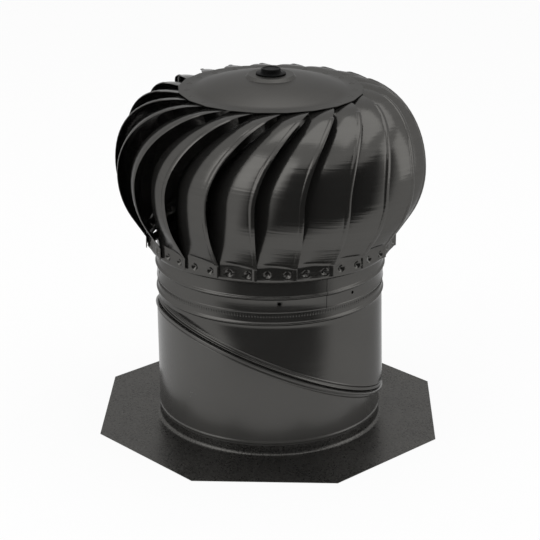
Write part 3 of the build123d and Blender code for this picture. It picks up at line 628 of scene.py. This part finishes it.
def repeat_round(piece, count, first_azimuth, material):
    """Repeat a piece round the axis and settle the result into one mesh."""
    tree = array_tree()
    array = piece.modifiers.new("Round", "NODES")
    array.node_group = tree
    values = {"Count": count, "First Azimuth": first_azimuth, "Material": material}
    for item in tree.interface.items_tree:
        if item.in_out == "INPUT" and item.name in values:
            array[item.identifier] = values[item.name]
    settle(piece)


def polygon_radius(flat, sides, azimuth, corner):
    """Radius of a regular polygon's outline at an azimuth."""
    side = 2 * pi / sides
    off = (azimuth - corner) % side - side / 2
    return flat / cos(off)


class VENT_OT_flashing(bpy.types.Operator):
    """Octagonal plate with its drawn collar"""
    bl_idname = "vent.flashing"
    bl_label = "Flashing Plate"

    def execute(self, context):
        base = context.scene.vent_base
        thick = base.plate
        top = PLATE_LOW.z + thick
        root = base.collar_radius + base.collar_bend
        centre = top + base.collar_bend
        sides, steps = 8, 8
        azimuths = round_azimuths()

        def octagon(flat):
            return [polar(polygon_radius(flat, sides, a, pi / sides), a, top) for a in azimuths]

        rings = [octagon(PLATE_HIGH.x), octagon(PLATE_HIGH.x - PLATE_EDGE)]
        inner = circle(root + COLLAR_MARGIN, top, azimuths)
        rings += [*wall_rings(rings[-1], inner, steps), inner]
        bend = base.collar_bend
        for turn in sampled([(0.0, pi / 2, steps)]):
            rings.append(circle(root - bend * sin(turn), centre - bend * cos(turn), azimuths))
        rings.append(circle(base.collar_radius, PLATE_HIGH.z, azimuths))
        material = finishes(context)["plate_enamel"]
        sheet_piece("flashing_sheet", rings, thick, material, "base", "flashing_plate")
        return {"FINISHED"}


class VENT_OT_lower_tube(bpy.types.Operator):
    """Lower tube with its foot bead and the rolled channel of the slanted seam"""
    bl_idname = "vent.lower_tube"
    bl_label = "Lower Tube"

    def execute(self, context):
        base = context.scene.vent_base
        foot = LOWER_LOW.z
        rings = [level_ring(base.tube_radius, foot)]
        bead = bead_path(foot + base.foot_bead_height, base.foot_bead, base.foot_bead_width)
        rings += [level_ring(base.tube_radius + out, z) for out, z in bead]
        rings.append(level_ring(base.tube_radius, foot + base.wall_start))
        rings += wall_rings(rings[-1], seam_ring(base.seam_radius, -base.seam_reach), WALL_STEPS)
        for radius, path in ((base.seam_radius, CHANNEL_FOOT), (base.seam_rim, CHANNEL_RIM),
                             (base.seam_radius, CHANNEL_LIP)):
            rings += [seam_ring(radius + out * MM, off * MM) for out, off in path]
        material = finishes(context)["tube_enamel"]
        sheet_piece("lower_tube_sheet", rings, base.sheet, material, "base", "lower_tube")
        return {"FINISHED"}


class VENT_OT_upper_tube(bpy.types.Operator):
    """Upper tube with the tongue and beads of the seam, the neck's stop bead and its crimps"""
    bl_idname = "vent.upper_tube"
    bl_label = "Upper Tube"

    def execute(self, context):
        base = context.scene.vent_base
        path = list(TONGUE)
        for bead in SEAM_BEADS:
            path += bead_path(*bead)
        rings = [seam_ring(base.seam_radius + out * MM, off * MM) for out, off in path]
        neck = level_ring(base.tube_radius, base.neck_height)
        rings += wall_rings(rings[-1], neck, WALL_STEPS)
        rings.append(neck)
        rings += [level_ring(base.tube_radius + out, z)
                  for out, z in bead_path(base.stop_height, base.stop_bead, base.bead_width)]
        rings.append(level_ring(base.tube_radius, UPPER_HIGH.z))
        material = finishes(context)["neck_enamel"]
        sheet_piece("upper_tube_sheet", rings, base.sheet, material, "neck", "upper_tube", base.tube_radius)
        self.crimps(base, material)
        return {"FINISHED"}

    def crimps(self, base, material):
        """Row of small crimps round the neck, under the throat's lower edge."""
        steps = 8
        rings = []
        for i in range(1, steps):
            tilt = pi * i / steps - pi / 2
            height = base.crimp_height + base.crimp_length / 2 * sin(tilt)
            rings.append([Vector((base.tube_radius + base.crimp_rise * cos(tilt) * cos(a),
                                  base.crimp_width / 2 * cos(tilt) * sin(a), height))
                          for a in round_azimuths(steps)])
        piece = new_piece("neck_crimps", *closed_skin(rings))
        repeat_round(piece, base.crimp_count, 0.0, material)
        dress(piece, material, "neck")


class VENT_OT_throat(bpy.types.Operator):
    """Throat ring with its rolled foot, bead, lap seam and screw holes"""
    bl_idname = "vent.throat"
    bl_label = "Throat Ring"

    def execute(self, context):
        base = context.scene.vent_base
        path = bead_path(THROAT_LOW.z + base.foot_roll_width / 2, base.foot_roll, base.foot_roll_width)
        path += bead_path(base.throat_bead_height, base.throat_bead, base.bead_width)
        path.append((0.0, THROAT_HIGH.z))
        hair = radians(0.05)
        azimuths = [a + pi / ROUND_STEPS for a in round_azimuths()]
        azimuths += [base.lap_azimuth + edge for edge in (0.0, hair, base.lap_angle - hair, base.lap_angle)]
        azimuths = sorted(a % (2 * pi) for a in azimuths)

        def lap(azimuth):
            past = (azimuth - base.lap_azimuth + hair / 2) % (2 * pi)
            return base.plate if hair < past < base.lap_angle else 0.0

        rings = [[polar(base.throat_radius + out + lap(a), a, z) for a in azimuths] for out, z in path]
        material = finishes(context)["neck_enamel"]
        sheet_piece("throat_sheet", rings, base.plate, material, "neck", "throat_ring", base.throat_radius)
        return {"FINISHED"}


class Blade:
    """The shape of one blade: where its lip and inner edge run, and the surface between them."""

    def __init__(self, head, count):
        self.head = head
        self.pitch = 2 * pi / count
        chord = RING_HIGH.x + head.foot_gap + head.sheet
        self.foot_lip = chord / cos(head.foot_turn)
        self.lap_depth = self.foot_lip - chord / cos(self.pitch + head.lap - head.foot_turn)
        self.reach = head.equator_radius - head.rim_radius - head.crown_flat
        self.crown = head.crown_flat + pi / 2 * hypot(self.reach, head.crown_rise) / 2 ** 0.5
        self.belly = head.belly_radius * head.skirt_slope
        self.skirt_radius = head.equator_radius - head.belly_radius * (1 - cos(head.skirt_slope))
        skirt = (self.skirt_radius - self.foot_lip) / sin(head.skirt_slope)
        self.span = self.crown + self.belly + skirt
        self.end = self.span + head.foot_bend
        self.bend_height = head.foot_height + head.foot_bend
        self.skirt_height = self.bend_height + skirt * cos(head.skirt_slope)
        self.equator_height = self.skirt_height + head.belly_radius * sin(head.skirt_slope)

    def profile(self, run):
        """Radius, height and inward direction of the lip at a run from the cap."""
        head = self.head
        if run <= head.crown_flat:
            return head.rim_radius + run, self.equator_height + head.crown_rise, (0.0, -1.0)
        if run <= self.crown:
            turn = pi / 2 * (run - head.crown_flat) / (self.crown - head.crown_flat)
            size = hypot(head.crown_rise * sin(turn), self.reach * cos(turn))
            inward = (-head.crown_rise * sin(turn) / size, -self.reach * cos(turn) / size)
            radius = head.equator_radius - self.reach * (1 - sin(turn))
            return radius, self.equator_height + head.crown_rise * cos(turn), inward
        if run <= self.crown + self.belly:
            turn = (run - self.crown) / head.belly_radius
            radius = head.equator_radius - head.belly_radius * (1 - cos(turn))
            return radius, self.equator_height - head.belly_radius * sin(turn), (-cos(turn), sin(turn))
        slope = head.skirt_slope
        down = run - self.crown - self.belly
        if run < self.span:
            radius = self.skirt_radius - down * sin(slope)
            return radius, self.skirt_height - down * cos(slope), (-cos(slope), sin(slope))
        return self.foot_lip, self.bend_height - (run - self.span), (-1.0, 0.0)

    def swing(self, run):
        """Zero at cap and foot, one half way down."""
        return sin(pi * min(max(run / self.span, 0.0), 1.0))

    def edges(self, run):
        """The lip's point and the inner edge's point at a run."""
        head = self.head
        radius, height, (inward_r, inward_z) = self.profile(run)
        swing = self.swing(run)
        depth = self.lap_depth + (head.belly_depth - self.lap_depth) * swing
        left = min(max(1.0 - run / self.crown, 0.0), 1.0)
        lip = head.swirl * left ** head.swirl_power
        edge = lip - self.pitch - head.lap - (head.belly_lap - head.lap) * swing
        return polar(radius, lip, height), polar(radius + depth * inward_r, edge, height + depth * inward_z)

    def hem(self, run, off):
        """Height of the rolled hem at a distance from the lip, and how far the lip is cut back."""
        head = self.head
        stepped = min(max((run - head.hem_start) / head.hem_step, 0.0), 1.0)
        stepped = stepped * stepped * (3 - 2 * stepped)
        place = off / head.hem_width
        roll = sin(pi * place) ** HEM_FULLNESS if place < 1.0 else 0.0
        groove = GROOVE_DEPTH * exp(-((place - GROOVE_PLACE) / GROOVE_WIDTH) ** 2)
        return head.hem_rise * (roll - groove) * stepped, head.hem_setback * (1 - stepped)

    def pit_places(self):
        """The places across a blade's foot of its two clinch pits."""
        bare = self.pitch / (self.pitch + self.head.lap)
        return [share_across * bare for share_across in PIT_SHARES]

    def pit_azimuths(self):
        """The azimuths of one blade's clinch pits."""
        lip, edge = self.edges(self.end)
        spots = [lip.lerp(edge, place) for place in self.pit_places()]
        return [self.head.first_azimuth + atan2(spot.y, spot.x) for spot in spots]

    def foot_marks(self, run, place, height):
        """Depth of the clinch pits and of the fold above them."""
        head = self.head
        depth = 0.0
        for centre in self.pit_places():
            across = (place - centre) * (self.pitch + head.lap) * self.foot_lip
            far = hypot(across, height - head.pit_height) / head.pit_radius
            depth -= head.pit_depth * max(0.0, 1 - far)
            depth += PIT_RIM_RISE * exp(-((far - PIT_RIM_PLACE) / PIT_RIM_WIDTH) ** 2)
        fold = (run - (self.span - FOLD_PLACE)) / FOLD_WIDTH
        return depth - head.fold_depth * exp(-fold * fold) * sin(pi * min(max(place, 0.0), 1.0)) ** 2

    def point(self, run, place):
        """A point of the outer skin at a run along the blade and a place across it, 0 at the lip to 1."""
        head = self.head
        lip, edge = self.edges(run)
        before, after = self.edges(run - MM), self.edges(run + MM)
        along = after[0] + after[1] - before[0] - before[1]
        chord = edge - lip
        across = chord.normalized()
        out = across.cross(along).normalized()
        rise, setback = self.hem(run, place * chord.length)
        bow = 4 * head.bow * self.swing(run) * place * (1 - place)
        marks = self.foot_marks(run, place, lip.z) if run > self.span - MARKS_START else 0.0
        return lip + across * (setback * (1 - place)) + chord * place + out * (rise + bow + marks)

    def runs(self):
        """Where the skin is sampled along the blade: closer at the hem's step, the fold and the pits."""
        head = self.head
        hem_end = head.hem_start + head.hem_step
        fold = self.span - FOLD_REACH
        return sampled([(head.head_radius - head.rim_radius, 0.0, 2), (0.0, head.hem_start, 8),
                        (head.hem_start, hem_end, 5), (hem_end, fold, 24), (fold, self.span, 8),
                        (self.span, self.end, 15)])


class VENT_OT_rotor_ring(bpy.types.Operator):
    """Band that carries the blades' feet, pressed in behind each clinch pit"""
    bl_idname = "vent.rotor_ring"
    bl_label = "Rotor Ring"

    def execute(self, context):
        head = context.scene.vent_head
        shape = Blade(head, len(BLADES))
        pits = shape.pit_azimuths()
        radius = RING_HIGH.x
        low = RING_LOW.z

        def pressed(azimuth, height):
            inward = 0.0
            for pit in pits:
                off = (azimuth - pit + shape.pitch / 2) % shape.pitch - shape.pitch / 2
                far = hypot(off * radius, height - head.pit_height) / (head.pit_radius + head.pit_room)
                inward += (head.pit_depth + head.pit_room) * max(0.0, 1 - far)
            return inward

        path = [(radius + out * MM, low + up * MM) for out, up in RING_FOOT]
        path += [(radius, z) for z in sampled([(low + RING_WALL_START * MM, RING_HIGH.z, RING_WALL_STEPS)])]
        azimuths = round_azimuths(RING_STEPS_PER_BLADE * len(BLADES))
        rings = [[polar(r - pressed(a, z), a, z) for a in azimuths] for r, z in path]
        sheet = context.scene.vent_base.plate
        material = finishes(context)["sheet_enamel"]
        sheet_piece("rotor_ring_sheet", rings, sheet, material, "rotor", "rotor_ring")
        return {"FINISHED"}


class VENT_OT_blades(bpy.types.Operator):
    """Ring of lapped, swirled blades with rolled hems and clinched feet"""
    bl_idname = "vent.blades"
    bl_label = "Blades"

    def execute(self, context):
        head = context.scene.vent_head
        shape = Blade(head, len(BLADES))
        places = sampled(PLACE_STOPS)
        rings = [[shape.point(run, place) for place in places] for run in shape.runs()]
        piece = new_piece("blade_set", *skin(rings, joined=False))
        thicken(piece, head.sheet)
        material = finishes(context)["sheet_enamel"]
        repeat_round(piece, len(BLADES), head.first_azimuth, material)
        dress(piece, material, "rotor", BLADES)
        return {"FINISHED"}


class VENT_OT_top_cap(bpy.types.Operator):
    """Polygonal cap with its boss and clinch marks"""
    bl_idname = "vent.top_cap"
    bl_label = "Top Cap"

    def execute(self, context):
        head = context.scene.vent_head
        material = finishes(context)["cap_enamel"]
        sheet = context.scene.vent_base.plate
        top = CAP_LOW.z + sheet
        count = len(BLADES)
        corner = head.first_azimuth + head.swirl
        steps = count * CAP_STEPS_PER_SIDE
        flat = head.cap_corner * cos(pi / count)
        azimuths = [corner + 2 * pi * i / steps for i in range(steps)]

        def dome(radius):
            inner, outer = head.boss_foot, head.cap_flat
            along = (outer - radius) / (outer - inner)
            middle = head.dome_bow - head.dome_rise / 2
            return top + head.dome_rise * along + 4 * middle * along * (1 - along)

        rings = [[polar(polygon_radius(flat, count, a, corner), a, top) for a in azimuths]]
        rings.append(circle(head.cap_flat + CAP_BRIM, top, azimuths))
        radii = sampled([(head.cap_flat, head.boss_foot, DOME_STEPS)])
        rings += [circle(r, dome(r), azimuths) for r in radii]
        boss = top + head.dome_rise + head.boss_rise
        rings += [circle(r, boss, azimuths) for r in (head.boss_radius, head.boss_hole)]
        sheet_piece("top_cap_sheet", rings, sheet, material, "rotor", "top_cap")
        self.clinches(head, top, count, corner, material)
        return {"FINISHED"}

    def clinches(self, head, top, count, corner, material):
        """One small dished clinch mark for each blade, near the cap's rim."""
        radius = head.clinch_radius
        rings = [[Vector((head.clinch_circle + radius * out * cos(a), radius * out * sin(a), top + up * MM))
                  for a in round_azimuths(CLINCH_STEPS)] for out, up in CLINCH]
        piece = new_piece("cap_clinches", *closed_skin(rings))
        repeat_round(piece, count, corner + pi / count, material)
        dress(piece, material, "rotor")


class VENT_OT_bearing_cap(bpy.types.Operator):
    """Moulded cap over the bearing"""
    bl_idname = "vent.bearing_cap"
    bl_label = "Bearing Cap"

    def execute(self, context):
        head = context.scene.vent_head
        low = CAP_HIGH.z
        top = BUTTON_HIGH.z
        ceiling = top - head.button_wall
        middle = BUTTON_CROWN[-1][0] * MM
        path = [(middle, ceiling), (head.button_bore, ceiling), (head.button_bore, BUTTON_LOW.z),
                (head.button_plug, BUTTON_LOW.z), (head.button_plug, low)]
        path += [(r * MM, low + up * MM) for r, up in BUTTON_FLANGE]
        path += [(r * MM, top - down * MM) for r, down in BUTTON_CROWN]
        rings = [circle(r, z, round_azimuths(BUTTON_STEPS)) for r, z in path]
        piece = new_piece("bearing_cap_moulding", *closed_skin(rings))
        dress(piece, finishes(context)["cap_plastic"], "rotor", ["bearing_cap"])
        return {"FINISHED"}


class VENT_OT_hardware(bpy.types.Operator):
    """Finishes of the brace, the shaft and the bearing"""
    bl_idname = "vent.hardware"
    bl_label = "Hardware Finishes"

    def execute(self, context):
        looks = finishes(context)
        of_slot = {"zinc_steel": "zinc_plate", "bush_bronze": "bush_bronze"}
        for part in frame["record"]["subparts"]:
            node = frame["nodes"][part["node"]]
            if part["material_slot"] in of_slot:
                node.material_slots[0].material = looks[of_slot[part["material_slot"]]]
        return {"FINISHED"}


def aimed(name, data, place, aim, roll=0.0):
    """A lamp or camera at a place, looking at a point."""
    holder = bpy.data.objects.new(name, data)
    holder.location = place
    holder.rotation_mode = "QUATERNION"
    look = (Vector(aim) - Vector(place)).to_track_quat("-Z", "Y")
    holder.rotation_quaternion = look @ Quaternion((0.0, 0.0, 1.0), roll)
    bpy.context.scene.collection.objects.link(holder)
    return holder


def lamp(name, place, aim, size, power):
    """A soft rectangular lamp that looks at a point."""
    light = bpy.data.lights.new(name, "AREA")
    light.shape = "RECTANGLE"
    light.size, light.size_y = size
    light.energy = power
    aimed(name, light, place, aim)


def white_when_seen(nodes):
    """One for rays that show the background: straight from the camera, off gloss or through glass."""
    path = nodes.add("ShaderNodeLightPath").socket.node
    seen = Wire(nodes.tree, path.outputs["Is Camera Ray"])
    for name in ("Is Glossy Ray", "Is Transmission Ray"):
        seen = seen.math("MAXIMUM", seen, Wire(nodes.tree, path.outputs[name]))
    return seen


class VENT_OT_stage(bpy.types.Operator):
    """Floor, light and camera"""
    bl_idname = "vent.stage"
    bl_label = "Stage"

    def execute(self, context):
        stage = context.scene.vent_stage
        self.surroundings(context.scene, stage)
        self.floor(stage)
        self.roof_hole_shade(context.scene.vent_base)
        self.dark_floor(stage)
        for name, values in LAMPS.items():
            lamp(name, *values)
        self.camera(context.scene, stage)
        return {"FINISHED"}

    def surroundings(self, scene, stage):
        """White all round, softer as light than as background."""
        scene.view_settings.view_transform = "Standard"
        world = bpy.data.worlds.new("white_studio")
        world.use_nodes = True
        scene.world = world
        nodes = Nodes(world.node_tree)
        seen = white_when_seen(nodes)
        strength = stage.ambient + (1.0 - stage.ambient) * seen
        nodes.feed(world.node_tree.nodes["Background"], {"Color": WHITE, "Strength": strength})

    def floor(self, stage):
        """Pale floor that fades into the white background and keeps a faint shadow."""
        half = 8.0
        floor = new_piece("floor", [(-half, -half, 0), (half, -half, 0), (half, half, 0), (-half, half, 0)],
                          [(0, 1, 2, 3)])
        floor.location.z = PLATE_LOW.z - FLOOR_DROP
        material, nodes, surface = matt("pale_floor", stage.floor_tone, roughness=0.9, shine=0.1)
        glow = nodes.add("ShaderNodeEmission", {"Color": WHITE, "Strength": 1.0})
        mix_surfaces(nodes, FLOOR_GLOW * white_when_seen(nodes), Wire(nodes.tree, surface.outputs[0]), glow)
        floor.data.materials.append(material)

    def roof_hole_shade(self, base):
        """Near-black disc on the floor under the duct, painted shade standing in for the dark inside of a roof
        hole, so that no light comes up inside.
        """
        rim = circle(base.collar_radius, PLATE_LOW.z - OPENING_DROP, round_azimuths())
        disc = new_piece("roof_hole_shade", rim, [tuple(range(len(rim)))])
        # painted shade: a matt disc of almost black colour in place of the roof hole's shaded inside
        disc.data.materials.append(matt("roof_hole_painted_shade", (0.01, 0.01, 0.01), roughness=1.0, shine=0.0)[0])

    def dark_floor(self, stage):
        """Dark ground and wall in front of the pale floor, seen only as a reflection in the gloss."""
        steps, ground_steps = 32, 8
        low = PLATE_LOW.z + MM
        path = [(i / ground_steps, low) for i in range(ground_steps)]
        path += [(1.0, z) for z in sampled([(low, low + stage.dark_height, steps - ground_steps)])]
        rows = []
        for out, height in path:
            turn = stage.dark_turn * (height - low) / stage.dark_height
            row = []
            for azimuth in sampled([(stage.dark_right, stage.dark_left, steps)]):
                start = stage.dark_start + stage.dark_skew * max(0.0, azimuth / stage.dark_right) ** 2
                radius = start + (stage.dark_reach - start) * out
                row.append(polar(radius, azimuth + turn - pi / 2, height))
            rows.append(row)
        card = new_piece("dark_floor", *skin(rows, joined=False))
        layer = card.data.uv_layers.new(name="UVMap")
        for loop in card.data.loops:
            row, column = divmod(loop.vertex_index, steps + 1)
            layer.data[loop.index].uv = (column / steps, row / steps)
        material, nodes, surface = new_material("dark_floor")
        nodes.tree.nodes.remove(surface)
        across, out, _ = split(nodes, nodes.add("ShaderNodeTexCoord", output="UV"))
        sides = smooth_step(nodes, across * (1 - across), *DARK_SIDES)
        near = smooth_step(nodes, out, *DARK_NEAR)
        top = smooth_step(nodes, out, *DARK_TOP)
        dark = nodes.add("ShaderNodeEmission", {"Color": WHITE, "Strength": stage.dark_tone})
        mix_surfaces(nodes, sides * near * top, nodes.add("ShaderNodeBsdfTransparent"), dark)
        card.data.materials.append(material)
        for ray in ("camera", "diffuse", "shadow", "transmission"):
            setattr(card, "visible_" + ray, False)

    def camera(self, scene, stage):
        """Camera at the photograph's place."""
        eye = bpy.data.cameras.new("camera")
        eye.lens = stage.lens
        eye.sensor_width = 36.0
        eye.clip_end = 50.0
        place = polar(stage.camera_distance, stage.camera_azimuth - pi / 2, stage.camera_height)
        scene.camera = aimed("camera", eye, place, (0.0, 0.0, stage.aim_height), stage.camera_roll)


class VENT_PT_pieces(bpy.types.Panel):
    """Lists the vent's pieces and sizes"""
    bl_idname = "VENT_PT_pieces"
    bl_label = "Turbine Roof Vent"
    bl_space_type = "VIEW_3D"
    bl_region_type = "UI"
    bl_category = "Roof Vent"

    def draw(self, context):
        layout = self.layout
        for operator in OPERATORS:
            layout.operator(operator.bl_idname)
        for group in GROUPS:
            box = layout.box()
            settings = getattr(context.scene, GROUPS[group])
            for name in group.__annotations__:
                box.prop(settings, name)


GROUPS = {VentBase: "vent_base", VentHead: "vent_head", VentFinish: "vent_finish", VentStage: "vent_stage"}
OPERATORS = (VENT_OT_flashing, VENT_OT_lower_tube, VENT_OT_upper_tube, VENT_OT_throat, VENT_OT_rotor_ring,
             VENT_OT_blades, VENT_OT_top_cap, VENT_OT_bearing_cap, VENT_OT_hardware, VENT_OT_stage)
CLASSES = (*GROUPS, *OPERATORS, VENT_PT_pieces)


def register():
    for cls in CLASSES:
        bpy.utils.register_class(cls)
    for group, name in GROUPS.items():
        setattr(bpy.types.Scene, name, bpy.props.PointerProperty(type=group))


def unregister():
    for name in GROUPS.values():
        delattr(bpy.types.Scene, name)
    for cls in reversed(CLASSES):
        bpy.utils.unregister_class(cls)


def main():
    register()
    for operator in OPERATORS:
        family, name = operator.bl_idname.split(".")
        getattr(getattr(bpy.ops, family), name)()


if __name__ == "__main__":
    main()
